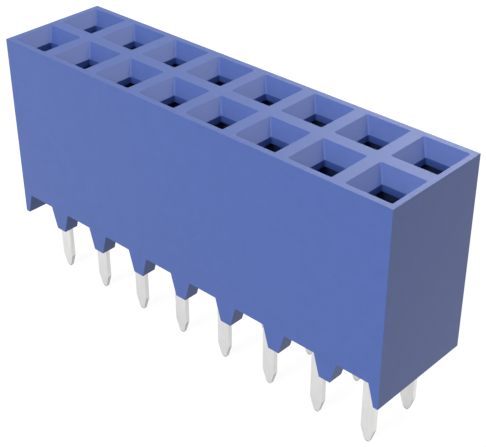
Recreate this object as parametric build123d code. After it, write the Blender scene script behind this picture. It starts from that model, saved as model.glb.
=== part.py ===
"""Board socket with two rows of eight positions on a 2.54 mm grid, vertical, for solder holes.

One moulded housing holds sixteen stamped contacts. Each contact is a single folded strip: a solder
tail, a joggle, a barbed retaining plate, a channel and two opposing spring beams. A square pin goes
through a funnel and a square land in the mating face, and the beams grip it in the chamber below.

Millimetres, Z up. The origin is on the board plane, under the middle of the housing. X runs along
the rows, and the mating face looks towards +Z.
"""

import os
from math import sqrt

from build123d import *

# Grid of the positions
POSITIONS = 8  # in each row
PITCH = 2.54  # along a row
ROW_PITCH = 2.54  # from row to row

# Housing, outside
HOUSING_HEIGHT = 8.48  # board plane to mating face
END_RIM = 0.235  # rim beyond the last funnel
SIDE_RIM = 0.27  # rim beside a row of funnels

# Entries in the mating face
ENTRY_RIB = 0.56  # rib between two funnels
FUNNEL_DEPTH = 0.53
LAND_WIDTH = 1.09  # square hole below the funnel
LAND_LENGTH = 0.28
CREASE = 0.04  # cut across the corners of funnel and land

# Feet that stand the housing off the board
STANDOFF = 0.985
FOOT_WIDTH = 0.53  # on the board
FOOT_FLARE = 0.28  # how much each side spreads up to the root
FOOT_DEPTH = 0.68  # in from the long face
END_FOOT_WIDTH = 0.215  # foot of an end wall, on the board

# Contact strip
STRIP = 0.20  # thickness
BEND_RADIUS = 0.10  # inside of a fold

# Solder tail
TAIL_WIDTH = 0.61
TAIL_LENGTH = 3.11  # below the board plane
POINT_LENGTH = 0.67  # coined point, all of it
POINT_WIDTH = 0.26  # where its blunt end starts
POINT_THICKNESS = 0.14
TIP_LENGTH = 0.09  # blunt end
TIP_WIDTH = 0.12
TIP_THICKNESS = 0.08
JOGGLE_START = 0.25  # above the underside of the housing
JOGGLE_HEIGHT = 0.60

# Retaining plate, which its barbs hold in the housing
PLATE_START = 0.15  # above the joggle
PLATE_OVERHANG = 0.15  # past the channel, each side
SHOULDER_HEIGHT = 0.30
SKIRT_HEIGHT = 0.30  # plain edge below the barbs
BARBS = 2  # each side
BARB_BITE = 0.10
BARB_HEIGHT = 0.45

# Channel and spring beams
CHANNEL_WIDTH = 1.60
CHANNEL_HEIGHT = 0.80
BEND_RELIEF = 0.15  # between the plate's shoulders and the channel's sides
BEAM_ROOT_WIDTH = 0.70
BEAM_TIP_WIDTH = 0.50
BEAM_TIP_CHAMFER = 0.10
KNEE_RADIUS = 0.45
KNEE_BELOW_TIP = 0.90
TIP_SET_IN = 0.14  # tips inside the width of the channel, each side
PIN_WIDTH = 0.64  # square pin that the socket takes
BEAM_GRIP = 0.12  # how far the pin pushes each knee back

# Clearances
CHAMBER_CLEARANCE = 0.05  # round the folded contact
BARB_CLEARANCE = 0.005  # barb tips to the walls that they grip
SHOULDER_CLEARANCE = 0.01  # shoulders to the ledge that stops them
TIP_CLEARANCE = 0.385  # beam tips to the roof of the chamber

# Contact, heights from the board up
JOGGLE_BOTTOM = STANDOFF + JOGGLE_START
JOGGLE_TOP = JOGGLE_BOTTOM + JOGGLE_HEIGHT
PLATE_BOTTOM = JOGGLE_TOP + PLATE_START
PLATE_TOP = PLATE_BOTTOM + SKIRT_HEIGHT + BARBS * BARB_HEIGHT + SHOULDER_HEIGHT
CHANNEL_BOTTOM = PLATE_TOP + BEND_RELIEF
CHANNEL_TOP = CHANNEL_BOTTOM + CHANNEL_HEIGHT
CHAMBER_TOP = HOUSING_HEIGHT - FUNNEL_DEPTH - LAND_LENGTH
BEAM_TIP = CHAMBER_TOP - TIP_CLEARANCE
KNEE = BEAM_TIP - KNEE_BELOW_TIP

# Contact, across: X places are of the strip's middle, on the +X side
FOLD_RADIUS = BEND_RADIUS + STRIP / 2
PLATE_Y = -(BEAM_ROOT_WIDTH / 2 + FOLD_RADIUS)
PLATE_WIDTH = CHANNEL_WIDTH + 2 * PLATE_OVERHANG
NECK_WIDTH = CHANNEL_WIDTH - 2 * (BEND_RADIUS + STRIP)
SIDE_X = (CHANNEL_WIDTH - STRIP) / 2
KNEE_X = (PIN_WIDTH + STRIP) / 2 - BEAM_GRIP
TIP_X = SIDE_X - TIP_SET_IN

# Housing
CHAMBER_WIDTH = CHANNEL_WIDTH + 2 * CHAMBER_CLEARANCE
CHAMBER_DEPTH = 2 * (CHAMBER_CLEARANCE + STRIP / 2 - PLATE_Y)
MOUTH_WIDTH = PITCH - ENTRY_RIB
MOUTH_DEPTH = ROW_PITCH - ENTRY_RIB
HOUSING_LENGTH = PITCH * (POSITIONS - 1) + MOUTH_WIDTH + 2 * END_RIM
HOUSING_WIDTH = ROW_PITCH + MOUTH_DEPTH + 2 * SIDE_RIM

# Turn of each row: the plates face each other across the middle of the housing.
ROWS = {"front": Rot(0, 0, 180), "back": Rot(0, 0, 0)}

UPWARDS = (Align.CENTER, Align.CENTER, Align.MIN)


def column_x(index):
    """Middle of a position along the row, counted from zero."""
    return PITCH * (index - (POSITIONS - 1) / 2)


def places(row):
    """Where each contact of a row stands, and which way it faces."""
    row_place = ROWS[row] * Pos(0, ROW_PITCH / 2)
    return [Pos(column_x(index), 0) * row_place for index in range(POSITIONS)]


def both_sides(shape):
    """A half on +X with its mirror image."""
    return shape + mirror(shape, about=Plane.YZ)


def through(face, reach):
    """A flat outline carried the same way to both sides."""
    return extrude(face, amount=reach, both=True)


def throat(mouth_x, mouth_y, land):
    """Four-sided funnel, open upwards, on a square land."""
    inset_x = (mouth_x - land) / 2
    inset_y = (mouth_y - land) / 2
    span = (inset_x, inset_y, inset_x + land, inset_y + land)
    funnel = Wedge(mouth_x, FUNNEL_DEPTH, mouth_y, *span, rotation=(-90, 0, 0))
    shaft = Box(land, land, HOUSING_HEIGHT - CHAMBER_TOP, align=UPWARDS)
    return Pos(0, 0, HOUSING_HEIGHT - FUNNEL_DEPTH / 2) * funnel + Pos(0, 0, CHAMBER_TOP) * shaft


def across_corners(width, depth):
    """Distance between the cuts across two opposite corners of a rectangle."""
    return (width + depth - 2 * CREASE) / sqrt(2)


def entry():
    """Space of one entry: a funnel and land, and another, turned by 45 degrees, for the creases."""
    mouth = across_corners(MOUTH_WIDTH, MOUTH_DEPTH)
    creases = throat(mouth, mouth, across_corners(LAND_WIDTH, LAND_WIDTH))
    return throat(MOUTH_WIDTH, MOUTH_DEPTH, LAND_WIDTH) & Rot(0, 0, 45) * creases


def chamber():
    """Space of one contact below the land, open downwards, with slots that the barbs grip."""
    room = Box(CHAMBER_WIDTH, CHAMBER_DEPTH, CHAMBER_TOP, align=UPWARDS)
    slots = Box(
        PLATE_WIDTH + 2 * BARB_CLEARANCE,
        STRIP + 2 * CHAMBER_CLEARANCE,
        PLATE_TOP + SHOULDER_CLEARANCE,
        align=UPWARDS,
    )
    return room + Pos(0, PLATE_Y) * slots


def foot_edges():
    """Left and right side of every foot where it meets the board, from end wall to end wall."""
    end = HOUSING_LENGTH / 2
    edges = [(-end, -end + END_FOOT_WIDTH)]
    for index in range(POSITIONS - 1):
        middle = (column_x(index) + column_x(index + 1)) / 2
        edges.append((middle - FOOT_WIDTH / 2, middle + FOOT_WIDTH / 2))
    return edges + [(end - END_FOOT_WIDTH, end)]


def gap(left, right, reach):
    """Space between two feet, which spread towards their roots."""
    top = [(right - FOOT_FLARE, STANDOFF), (left + FOOT_FLARE, STANDOFF)]
    outline = make_face(Polyline((left, 0), (right, 0), *top, close=True))
    return through(Plane.XZ * outline, reach)


def underside():
    """Space under the housing: a recess between the rows of feet, and a gap at every position."""
    edges = foot_edges()
    space = gap(edges[0][1], edges[-1][0], HOUSING_WIDTH / 2 - FOOT_DEPTH)
    for here, there in zip(edges, edges[1:]):
        space += gap(here[1], there[0], HOUSING_WIDTH / 2)
    return space


def housing():
    """The moulded block with its entries, chambers and feet."""
    block = Box(HOUSING_LENGTH, HOUSING_WIDTH, HOUSING_HEIGHT, align=UPWARDS)
    cell = entry() + chamber()
    return block - underside() - [place * cell for row in ROWS for place in places(row)]


def strip_along(points, radii):
    """Edge view of the strip: a line of points with round bends, given the strip's thickness."""
    return trace(FilletPolyline(*points, radius=radii), line_width=STRIP)


def point_edge(full, middle, tip):
    """One side of the tail's point, downwards, from its full size to the middle of its tip."""
    sizes = [(full, POINT_LENGTH), (middle, TIP_LENGTH), (tip, 0), (0, 0)]
    return [(size / 2, height - TAIL_LENGTH) for size, height in sizes]


def barbed_edge():
    """One side edge of the retaining plate, downwards: square shoulder, saw teeth, plain skirt."""
    reach = PLATE_WIDTH / 2
    root = reach - BARB_BITE
    height = PLATE_TOP - SHOULDER_HEIGHT
    points = [(reach, PLATE_TOP), (reach, height)]
    for _ in range(BARBS):
        points += [(root, height), (reach, height - BARB_HEIGHT)]
        height -= BARB_HEIGHT
    return points + [(root, height), (root, PLATE_BOTTOM)]


def blade():
    """Tail, joggle and plate: the strip's edge view, cut to its front outline."""
    start = (0, POINT_LENGTH - TAIL_LENGTH)
    bends = [start, (0, JOGGLE_BOTTOM), (PLATE_Y, JOGGLE_TOP), (PLATE_Y, CHANNEL_TOP)]
    coined = Polyline(start, *point_edge(STRIP, POINT_THICKNESS, TIP_THICKNESS), close=True)
    edge_view = strip_along(bends, FOLD_RADIUS) + both_sides(make_face(coined))
    half_outline = [
        (0, CHANNEL_TOP),
        (NECK_WIDTH / 2, CHANNEL_TOP),
        (NECK_WIDTH / 2, PLATE_TOP),
        *barbed_edge(),
        (TAIL_WIDTH / 2, PLATE_BOTTOM),
        *point_edge(TAIL_WIDTH, POINT_WIDTH, TIP_WIDTH),
    ]
    front_view = both_sides(make_face(Polyline(*half_outline, close=True)))
    sides = through(Plane.YZ * edge_view, PLATE_WIDTH)
    return sides & through(Plane.XZ * front_view, CHAMBER_DEPTH)


def channel():
    """Folded base of the beams: a U of strip, seen from above, whose back is the plate's."""
    front_y = BEAM_ROOT_WIDTH / 2
    path = [(SIDE_X, front_y), (SIDE_X, PLATE_Y), (-SIDE_X, PLATE_Y), (-SIDE_X, front_y)]
    section = Pos(0, 0, CHANNEL_BOTTOM) * strip_along(path, FOLD_RADIUS)
    return extrude(section, amount=CHANNEL_HEIGHT)


def beams():
    """Two spring beams: they close in to the knees that grip the pin, and open to the tips."""
    path = [(SIDE_X, CHANNEL_BOTTOM), (SIDE_X, CHANNEL_TOP), (KNEE_X, KNEE), (TIP_X, BEAM_TIP)]
    front_view = Plane.XZ * both_sides(strip_along(path, (0, KNEE_RADIUS)))
    half_outline = [
        (0, CHANNEL_BOTTOM),
        (BEAM_ROOT_WIDTH / 2, CHANNEL_BOTTOM),
        (BEAM_ROOT_WIDTH / 2, CHANNEL_TOP),
        (BEAM_TIP_WIDTH / 2, BEAM_TIP - BEAM_TIP_CHAMFER),
        (BEAM_TIP_WIDTH / 2 - BEAM_TIP_CHAMFER, BEAM_TIP),
        (0, BEAM_TIP),
    ]
    side_view = Plane.YZ * both_sides(make_face(Polyline(*half_outline, close=True)))
    return through(front_view, BEAM_ROOT_WIDTH) & through(side_view, CHANNEL_WIDTH)


def contact():
    """One contact at the origin, with its plate towards -Y."""
    return blade() + channel() + beams()


def main():
    os.makedirs("parts", exist_ok=True)
    export_step(housing(), "parts/housing.step")
    piece = contact()
    for row in ROWS:
        for number, place in enumerate(places(row), start=1):
            export_step(place * piece, f"parts/contact_{row}_{number}.step")


main()
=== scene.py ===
"""Finish, studio and camera for the dual-row board socket.

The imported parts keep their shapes. This script gives the housing its moulded plastic and the
contacts their tin plate, both worked out from Object coordinates, and lights them on a pale floor.
The camera stands where the photograph was taken from. Metres throughout, in the frame of the
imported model.
"""

from math import cos, radians, sin

import bpy
from mathutils import Matrix, Vector


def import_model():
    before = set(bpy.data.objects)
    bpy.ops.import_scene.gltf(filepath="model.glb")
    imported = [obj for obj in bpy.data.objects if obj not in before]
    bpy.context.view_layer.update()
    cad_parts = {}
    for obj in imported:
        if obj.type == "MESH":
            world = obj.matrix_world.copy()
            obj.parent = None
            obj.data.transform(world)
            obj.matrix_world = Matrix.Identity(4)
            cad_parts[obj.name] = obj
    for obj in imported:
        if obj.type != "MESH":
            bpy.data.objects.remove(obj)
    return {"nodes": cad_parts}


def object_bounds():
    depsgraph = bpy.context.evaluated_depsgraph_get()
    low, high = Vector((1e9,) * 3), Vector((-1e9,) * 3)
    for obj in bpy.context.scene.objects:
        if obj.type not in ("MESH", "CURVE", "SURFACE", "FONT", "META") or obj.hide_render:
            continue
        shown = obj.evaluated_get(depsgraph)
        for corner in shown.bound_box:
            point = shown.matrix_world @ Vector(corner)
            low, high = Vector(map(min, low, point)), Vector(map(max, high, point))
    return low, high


MM = 0.001
WHITE = (1.0, 1.0, 1.0, 1.0)

# Camera, fitted to the edges of the housing and the tails in the photograph
CAMERA_PLACE = (28.058 * MM, -28.771 * MM, 27.928 * MM)
CAMERA_AZIMUTH = 43.083  # degrees, looking along +Y at zero
CAMERA_ELEVATION = 32.403  # degrees down from the level
CAMERA_ROLL = -0.251  # degrees
CAMERA_CLIP = (1 * MM, 2.0)
SENSOR_WIDTH = 36.0  # in millimetres, as the lens is
LENS = 85.40

# Lamps: name, place, side of the square, watts, colour, whether gloss mirrors it
LAMPS = (
    ("front_lamp", (0.014, -0.125, 0.030), 0.07, 0.071, (1.0, 1.0, 1.0), False),
    ("upper_front_lamp", (0.004, -0.200, 0.150), 0.14, 0.360, (1.0, 1.0, 1.0), True),
    ("top_lamp", (0.012, 0.080, 0.200), 0.12, 0.128, (1.0, 1.0, 1.0), True),
    ("sheen_lamp", (-0.036, 0.118, 0.082), 0.08, 0.072, (1.0, 1.0, 1.0), True),
    ("side_lamp", (0.110, 0.122, 0.138), 0.10, 0.104, (1.0, 0.95, 0.88), True),
)
LAMPS_AIM = (0.0, 0.0, 3 * MM)
SKY = 0.02  # level of the room's light

# Floor, just under the tips of the tails
FLOOR_SIDE = 600 * MM
FLOOR_GAP = 0.004 * MM
FLOOR_SHADOW = 0.15  # how much of the floor's own shading the camera and the gloss see
FLOOR_FADE = (60 * MM, 200 * MM)  # distances over which that shading fades out
FLOOR_GLOW = 1.08  # makes up for the shading's share
FLOOR_OCCLUSION = 0.40  # how much darker gloss sees the floor where the object covers it
FLOOR_OCCLUSION_REACH = 6 * MM
FLOOR_GREY = (0.36, 0.36, 0.36, 1)  # what the floor throws back of other light

# Where the painted corner highlights and the painted chamber shade begin and end: foot of the
# funnels, roof and mouth of the chambers, and the places inside the outer faces, along X and along
# Y
FUNNEL_FOOT = (7.93 * MM, 7.97 * MM)
CHAMBER_ROOF = (7.66 * MM, 7.68 * MM)
CHAMBER_MOUTH = (1.2 * MM, 2.6 * MM)
CORE_SIDES = ((9.94 * MM, 10.00 * MM), (2.30 * MM, 2.45 * MM))

FEELERS = 4  # rays that feel for an edge or a cover

# Noises of the surfaces, as detail and roughness. A range, here and below, is the low and the high
# value of a noise, and then what they become
GRAIN_NOISE = (4.0, 0.6)
MOTTLE_NOISE = (3.0, 0.55)
MOTTLE_RANGE = (0.3, 0.7, 0.0, 1.0)

# Moulded plastic
PLASTIC_GRAIN = {"Grain_Scale": 12000.0, "Mottle_Scale": 1600.0}
PLASTIC_MOTTLE_COLOURS = ((0.052, 0.107, 0.366, 1), (0.059, 0.116, 0.400, 1))
PLASTIC_SPECK_COLOUR = (0.080, 0.140, 0.43, 1)
PLASTIC_SPECK_RANGE = (0.45, 0.75, 0.0, 0.35)
PLASTIC_EDGES = {"Radius": 0.015 * MM, "Gain": 3.0}
# Painted highlight: the edges of the housing made paler
EDGE_PAINTED_HIGHLIGHT_COLOUR = (0.12, 0.18, 0.47, 1)
EDGE_PAINTED_HIGHLIGHT_SHARE = 0.35
# Painted highlight: a pale line down each corner of the funnels
PAINTED_CORNER_HIGHLIGHT_MASK = {"Radius": 0.06 * MM, "Gain": 2.0}
CORNER_PAINTED_HIGHLIGHT_COLOUR = (0.14, 0.20, 0.52, 1)
CORNER_PAINTED_HIGHLIGHT_SHARE = 0.5
# Painted shade: the walls of the chambers, darker than the plastic outside them
CHAMBER_PAINTED_SHADE_COLOUR = (0.017, 0.030, 0.105, 1)
PLASTIC_ROUGHNESS_RANGE = (0.2, 0.8, 0.40, 0.50)
PLASTIC_IOR = 1.58
PLASTIC_BUMP = {"Strength": 0.25, "Distance": 0.004 * MM}

# Tin plate
TIN_MOTTLE_SCALE = 1500.0
TIN_MOTTLE_COLOURS = ((0.79, 0.79, 0.78, 1), (0.84, 0.84, 0.83, 1))
TIN_STREAK_STRETCH = (1.0, 1.0, 0.06)
TIN_STREAK_NOISE = (14000.0, 3.0, 0.6)  # scale, detail and roughness
TIN_STREAK_COLOUR = (0.72, 0.72, 0.72, 1)
TIN_STREAK_RANGE = (0.35, 0.7, 0.0, 0.5)
TIN_DOWNWARD = {"From": 0.10, "To": 0.25}
# Painted reflection of shaded floor: the faces that look downwards made darker
TIN_DOWNWARD_SHADE_COLOUR = (0.46, 0.46, 0.46, 1)
TIN_DOWNWARD_SHADE_SHARE = 0.8
TIN_EDGES = {"Radius": 0.020 * MM, "Gain": 2.0}
# Darker along the edges
TIN_EDGE_COLOUR = (0.45, 0.45, 0.45, 1)
TIN_EDGE_SHARE = 0.5
TIN_ROUGHNESS_RANGE = (0.3, 0.7, 0.32, 0.44)
TIN_BUMP = {"Strength": 0.2, "Distance": 0.003 * MM}


def place_camera():
    """Sight line from azimuth and elevation, turned by the roll: the axes are right, up and
    backwards."""
    angles = (CAMERA_AZIMUTH, CAMERA_ELEVATION, CAMERA_ROLL)
    azimuth, elevation, roll = (radians(angle) for angle in angles)
    forward = Vector(
        (-sin(azimuth) * cos(elevation), cos(azimuth) * cos(elevation), -sin(elevation))
    )
    level = Vector((cos(azimuth), sin(azimuth), 0))
    upright = level.cross(forward)
    right = cos(roll) * level + sin(roll) * upright
    up = -sin(roll) * level + cos(roll) * upright
    data = bpy.data.cameras.new("camera")
    data.sensor_width = SENSOR_WIDTH
    data.lens = LENS
    data.clip_start, data.clip_end = CAMERA_CLIP
    camera = bpy.data.objects.new("camera", data)
    bpy.context.scene.collection.objects.link(camera)
    turn = Matrix((right, up, -forward)).transposed().to_4x4()
    camera.matrix_world = Matrix.Translation(CAMERA_PLACE) @ turn
    bpy.context.scene.camera = camera


def place_lamps():
    """Square soft lamps, each turned towards the middle of the object. Gloss doesn't mirror the
    low one in front, which would glare on the tails in a level view."""
    for name, place, side, watts, colour, mirrored in LAMPS:
        data = bpy.data.lights.new(name, "AREA")
        data.size = side
        data.energy = watts
        data.color = colour
        lamp = bpy.data.objects.new(name, data)
        bpy.context.scene.collection.objects.link(lamp)
        lamp.visible_glossy = mirrored
        lamp.location = place
        towards = Vector(LAMPS_AIM) - Vector(place)
        lamp.rotation_euler = towards.to_track_quat("-Z", "Y").to_euler()


class Nodes:
    """A node tree with short ways to add and join nodes."""

    def __init__(self, tree):
        self.tree = tree

    def feed(self, socket, value):
        """Joins the socket to another node's output, or sets its own value."""
        if isinstance(value, bpy.types.NodeSocket):
            self.tree.links.new(value, socket)
        else:
            socket.default_value = value

    def add(self, kind, settings=None, *values, **named):
        """A node with its settings. Values feed its inputs in their order, or else by name."""
        node = self.tree.nodes.new(kind)
        for name, value in (settings or {}).items():
            setattr(node, name, value)
        for socket, value in zip(node.inputs, values):
            self.feed(socket, value)
        for name, value in named.items():
            self.feed(node.inputs[name.replace("_", " ")], value)
        return node

    def math(self, operation, *values, clamp=False):
        """Output of a Math node."""
        settings = {"operation": operation, "use_clamp": clamp}
        return self.add("ShaderNodeMath", settings, *values).outputs[0]

    def span(self, value, low, high, to_low, to_high):
        """Output of a Map Range node, kept inside its range."""
        ends = (low, high, to_low, to_high)
        return self.add("ShaderNodeMapRange", None, value, *ends).outputs[0]

    def blend(self, share, first, second):
        """Colour that goes from first to second as share goes from 0 to 1."""
        node = self.add("ShaderNodeMix", {"data_type": "RGBA"})
        for name, value in (("Factor_Float", share), ("A_Color", first), ("B_Color", second)):
            self.feed(next(s for s in node.inputs if s.identifier == name), value)
        return next(s for s in node.outputs if s.identifier == "Result_Color")

    def noise(self, where, scale, detail, roughness):
        """Value of a Noise Texture, 0 to 1 with a middle of 0.5."""
        values = {"Scale": scale, "Detail": detail, "Roughness": roughness}
        return self.add("ShaderNodeTexNoise", Vector=where, **values).outputs["Fac"]

    def rounded(self, radius):
        """Normal of the surface as if its edges were rounded to the radius."""
        return self.add("ShaderNodeBevel", {"samples": FEELERS}, Radius=radius).outputs["Normal"]

    def axes(self, vector):
        """The three parts of a vector, as outputs X, Y and Z."""
        return self.add("ShaderNodeSeparateXYZ", Vector=vector).outputs

    def placed(self, group, **inputs):
        """Outputs of a shader group placed with its own values."""
        return self.add("ShaderNodeGroup", {"node_tree": group}, **inputs).outputs

    def mixed(self, share, first, second):
        """Shader that goes from first to second as share goes from 0 to 1."""
        return self.add("ShaderNodeMixShader", None, share, first, second).outputs[0]

    def sight(self):
        """Share of the rays that gloss or clear things send, and that share with the camera's."""
        path = self.add("ShaderNodeLightPath").outputs
        mirrored = self.math("MAXIMUM", path["Is Glossy Ray"], path["Is Transmission Ray"])
        return mirrored, self.math("MAXIMUM", path["Is Camera Ray"], mirrored)


def new_group(name, inputs, outputs):
    """Empty shader group with named sockets: its nodes, what it is given, and its results."""
    tree = bpy.data.node_groups.new(name, "ShaderNodeTree")
    for direction, sockets in (("INPUT", inputs), ("OUTPUT", outputs)):
        for label, kind in sockets.items():
            tree.interface.new_socket(label, in_out=direction, socket_type="NodeSocket" + kind)
    nodes = Nodes(tree)
    return nodes, nodes.add("NodeGroupInput").outputs, nodes.add("NodeGroupOutput").inputs


def edges_group():
    """Rounded normal near the edges, and a mask of them: one minus the dot product of the rounded
    and the plain normal, which is zero on a flat face and grows towards an edge."""
    inputs = {"Radius": "Float", "Gain": "Float"}
    nodes, given, result = new_group("soft edges", inputs, {"Mask": "Float", "Normal": "Vector"})
    rounded = nodes.rounded(given["Radius"])
    plain = nodes.add("ShaderNodeNewGeometry").outputs["True Normal"]
    both = nodes.add("ShaderNodeVectorMath", {"operation": "DOT_PRODUCT"}, rounded, plain)
    apart = nodes.math("SUBTRACT", 1.0, both.outputs["Value"])
    nodes.feed(result["Mask"], nodes.math("MULTIPLY", apart, given["Gain"], clamp=True))
    nodes.feed(result["Normal"], rounded)
    return nodes.tree


def corners_group():
    """Mask of the upright corners: the lesser of the two level parts of a rounded normal, which
    is zero on a face that looks along one axis and grows towards a corner between two of them."""
    inputs = {"Radius": "Float", "Gain": "Float"}
    nodes, given, result = new_group("upright corners", inputs, {"Mask": "Float"})
    axes = nodes.axes(nodes.rounded(given["Radius"]))
    lesser = nodes.math("MINIMUM", *(nodes.math("ABSOLUTE", axes[axis]) for axis in "XY"))
    nodes.feed(result["Mask"], nodes.math("MULTIPLY", lesser, given["Gain"], clamp=True))
    return nodes.tree


def downward_group():
    """Mask of the faces that look downwards: the share by which the normal dips below the level."""
    inputs = {"From": "Float", "To": "Float"}
    nodes, given, result = new_group("downward", inputs, {"Mask": "Float"})
    normal = nodes.add("ShaderNodeNewGeometry").outputs["Normal"]
    dip = nodes.math("MULTIPLY", nodes.axes(normal)["Z"], -1.0)
    nodes.feed(result["Mask"], nodes.span(dip, given["From"], given["To"], 0.0, 1.0))
    return nodes.tree


def grain_group():
    """Fine grain and broad mottle of a surface, both 0 to 1: two noises of several octaves, each
    at its own scale."""
    inputs = {"Vector": "Vector", "Grain Scale": "Float", "Mottle Scale": "Float"}
    nodes, given, result = new_group("grain", inputs, {"Grain": "Float", "Mottle": "Float"})
    grain = nodes.noise(given["Vector"], given["Grain Scale"], *GRAIN_NOISE)
    mottle = nodes.noise(given["Vector"], given["Mottle Scale"], *MOTTLE_NOISE)
    nodes.feed(result["Grain"], grain)
    nodes.feed(result["Mottle"], nodes.span(mottle, *MOTTLE_RANGE))
    return nodes.tree


def new_material(name):
    """Material with its nodes, its Principled shader's inputs, and its Object coordinates."""
    material = bpy.data.materials.new(name)
    material.use_nodes = True
    nodes = Nodes(material.node_tree)
    shader = material.node_tree.nodes["Principled BSDF"].inputs
    return material, nodes, shader, nodes.add("ShaderNodeTexCoord").outputs["Object"]


def core_masks(nodes, where):
    """Masks of the funnels and of the chambers: steps in height, times a step inside each pair of
    outer faces. The chambers' mask also fades out towards their mouths."""
    axes = nodes.axes(where)
    height = axes["Z"]
    inside = (
        nodes.span(nodes.math("ABSOLUTE", axes[axis]), *sides, 1.0, 0.0)
        for axis, sides in zip("XY", CORE_SIDES)
    )
    core = nodes.math("MULTIPLY", *inside)
    # The funnels' mask carries the painted corner highlights
    funnels = nodes.math("MULTIPLY", core, nodes.span(height, *FUNNEL_FOOT, 0.0, 1.0))
    # The chambers' mask carries the painted shade
    roofed = nodes.math("MULTIPLY", core, nodes.span(height, *CHAMBER_ROOF, 1.0, 0.0))
    chambers = nodes.math("MULTIPLY", roofed, nodes.span(height, *CHAMBER_MOUTH, 0.0, 1.0))
    return funnels, chambers


def moulded_plastic(edges, grain, corners):
    """Blue glass-filled plastic: spark-eroded grain and faint mottle, with painted highlights along
    the edges and down each corner of the funnels, and painted shade on the walls of the chambers."""
    material, nodes, shader, where = new_material("housing_blue")
    edge = nodes.placed(edges, **PLASTIC_EDGES)
    corner = nodes.placed(corners, **PAINTED_CORNER_HIGHLIGHT_MASK)
    skin = nodes.placed(grain, Vector=where, **PLASTIC_GRAIN)
    funnels, chambers = core_masks(nodes, where)

    body = nodes.blend(skin["Mottle"], *PLASTIC_MOTTLE_COLOURS)
    specks = nodes.span(skin["Grain"], *PLASTIC_SPECK_RANGE)
    speckled = nodes.blend(specks, body, PLASTIC_SPECK_COLOUR)
    # Painted highlight along the edges
    pale = nodes.math("MULTIPLY", edge["Mask"], EDGE_PAINTED_HIGHLIGHT_SHARE)
    skinned = nodes.blend(pale, speckled, EDGE_PAINTED_HIGHLIGHT_COLOUR)
    # Painted highlight down each corner of the funnels
    corner_highlight = nodes.math("MULTIPLY", funnels, CORNER_PAINTED_HIGHLIGHT_SHARE)
    corner_highlight = nodes.math("MULTIPLY", corner["Mask"], corner_highlight)
    corner_highlighted = nodes.blend(corner_highlight, skinned, CORNER_PAINTED_HIGHLIGHT_COLOUR)
    # Painted shade on the walls of the chambers
    nodes.feed(shader["Base Color"], nodes.blend(chambers, corner_highlighted, CHAMBER_PAINTED_SHADE_COLOUR))

    nodes.feed(shader["Roughness"], nodes.span(skin["Grain"], *PLASTIC_ROUGHNESS_RANGE))
    shader["IOR"].default_value = PLASTIC_IOR
    relief = {"Height": skin["Grain"], "Normal": edge["Normal"]}
    bump = nodes.add("ShaderNodeBump", **relief, **PLASTIC_BUMP)
    nodes.feed(shader["Normal"], bump.outputs["Normal"])
    return material


def tin_plate(edges, grain, downward):
    """Matt tin over rolled strip: streaks along the strip, the edges a little darker, and a painted
    reflection of shaded floor on the faces that look downwards, the sides of the point among them."""
    material, nodes, shader, where = new_material("contact_tin")
    edge = nodes.placed(edges, **TIN_EDGES)
    facing_down = nodes.placed(downward, **TIN_DOWNWARD)
    skin = nodes.placed(grain, Vector=where, Mottle_Scale=TIN_MOTTLE_SCALE)
    along = nodes.add("ShaderNodeMapping", Vector=where, Scale=TIN_STREAK_STRETCH)
    streaks = nodes.noise(along.outputs["Vector"], *TIN_STREAK_NOISE)

    even = nodes.blend(skin["Mottle"], *TIN_MOTTLE_COLOURS)
    streaked = nodes.blend(nodes.span(streaks, *TIN_STREAK_RANGE), even, TIN_STREAK_COLOUR)
    # Painted reflection of shaded floor on the faces that look downwards
    downward_shade = nodes.math("MULTIPLY", facing_down["Mask"], TIN_DOWNWARD_SHADE_SHARE)
    plain = nodes.blend(downward_shade, streaked, TIN_DOWNWARD_SHADE_COLOUR)
    # Darker along the edges
    edge_darkening = nodes.math("MULTIPLY", edge["Mask"], TIN_EDGE_SHARE)
    nodes.feed(shader["Base Color"], nodes.blend(edge_darkening, plain, TIN_EDGE_COLOUR))

    shader["Metallic"].default_value = 1.0
    nodes.feed(shader["Roughness"], nodes.span(streaks, *TIN_ROUGHNESS_RANGE))
    relief = {"Height": streaks, "Normal": edge["Normal"]}
    bump = nodes.add("ShaderNodeBump", **relief, **TIN_BUMP)
    nodes.feed(shader["Normal"], bump.outputs["Normal"])
    return material


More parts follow.
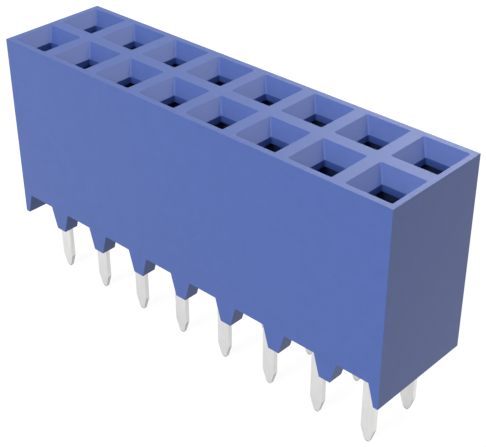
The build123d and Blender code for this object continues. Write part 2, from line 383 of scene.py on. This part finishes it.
def floor_finish():
    """The camera and gloss see the floor white, mixed with a share of its own shading that fades
    out with the distance from the object, and gloss sees it darker where the object covers it.
    Other light meets a grey floor. From below it can't be seen."""
    material = bpy.data.materials.new("floor_white")
    material.use_nodes = True
    tree = material.node_tree
    tree.nodes.remove(tree.nodes["Principled BSDF"])
    nodes = Nodes(tree)
    mirrored, seen = nodes.sight()
    shaded = nodes.add("ShaderNodeBsdfDiffuse", Color=nodes.blend(seen, FLOOR_GREY, WHITE))

    feel = nodes.add(
        "ShaderNodeAmbientOcclusion", {"samples": FEELERS}, Distance=FLOOR_OCCLUSION_REACH
    )
    covered = nodes.math("SUBTRACT", 1.0, feel.outputs["AO"])
    covered = nodes.math("MULTIPLY", covered, FLOOR_OCCLUSION)
    dimmed = nodes.math("SUBTRACT", 1.0, nodes.math("MULTIPLY", covered, mirrored))
    glow = nodes.math("MULTIPLY", dimmed, FLOOR_GLOW)
    white = nodes.add("ShaderNodeEmission", Color=WHITE, Strength=glow)

    place = nodes.add("ShaderNodeTexCoord").outputs["Object"]
    away = nodes.add("ShaderNodeVectorMath", {"operation": "LENGTH"}, place).outputs["Value"]
    shadow = nodes.span(away, *FLOOR_FADE, FLOOR_SHADOW, 0.0)
    bright = nodes.math("MULTIPLY", seen, nodes.math("SUBTRACT", 1.0, shadow))
    top = nodes.mixed(bright, shaded.outputs[0], white.outputs[0])
    under = nodes.add("ShaderNodeBsdfTransparent").outputs[0]
    below = nodes.add("ShaderNodeNewGeometry").outputs["Backfacing"]
    surface = tree.nodes["Material Output"].inputs["Surface"]
    nodes.feed(surface, nodes.mixed(below, top, under))
    return material


def studio_floor(low):
    """Square floor under the tails."""
    half = FLOOR_SIDE / 2
    height = low - FLOOR_GAP
    corners = [(x * half, y * half, height) for x, y in ((-1, -1), (1, -1), (1, 1), (-1, 1))]
    mesh = bpy.data.meshes.new("floor")
    mesh.from_pydata(corners, [], [range(len(corners))])
    mesh.materials.append(floor_finish())
    floor = bpy.data.objects.new("floor", mesh)
    bpy.context.scene.collection.objects.link(floor)


def studio_room():
    """Even light from all round, and plain white where the camera, metal or gloss looks at it."""
    world = bpy.data.worlds.new("room")
    bpy.context.scene.world = world
    world.use_nodes = True
    nodes = Nodes(world.node_tree)
    seen = nodes.sight()[1]
    back = world.node_tree.nodes["Background"].inputs
    back["Color"].default_value = WHITE
    nodes.feed(back["Strength"], nodes.span(seen, 0.0, 1.0, SKY, 1.0))


def dress(frame):
    """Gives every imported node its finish."""
    edges, grain = edges_group(), grain_group()
    plastic = moulded_plastic(edges, grain, corners_group())
    tin = tin_plate(edges, grain, downward_group())
    for name, node in frame["nodes"].items():
        finish = plastic if name == "housing" else tin
        for slot in node.material_slots:
            slot.material = finish


def main():
    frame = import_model()
    cad_box = [list(corner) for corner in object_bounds()]
    bpy.context.scene.view_settings.view_transform = "Standard"
    place_camera()
    place_lamps()
    studio_room()
    studio_floor(cad_box[0][2])
    dress(frame)


main()
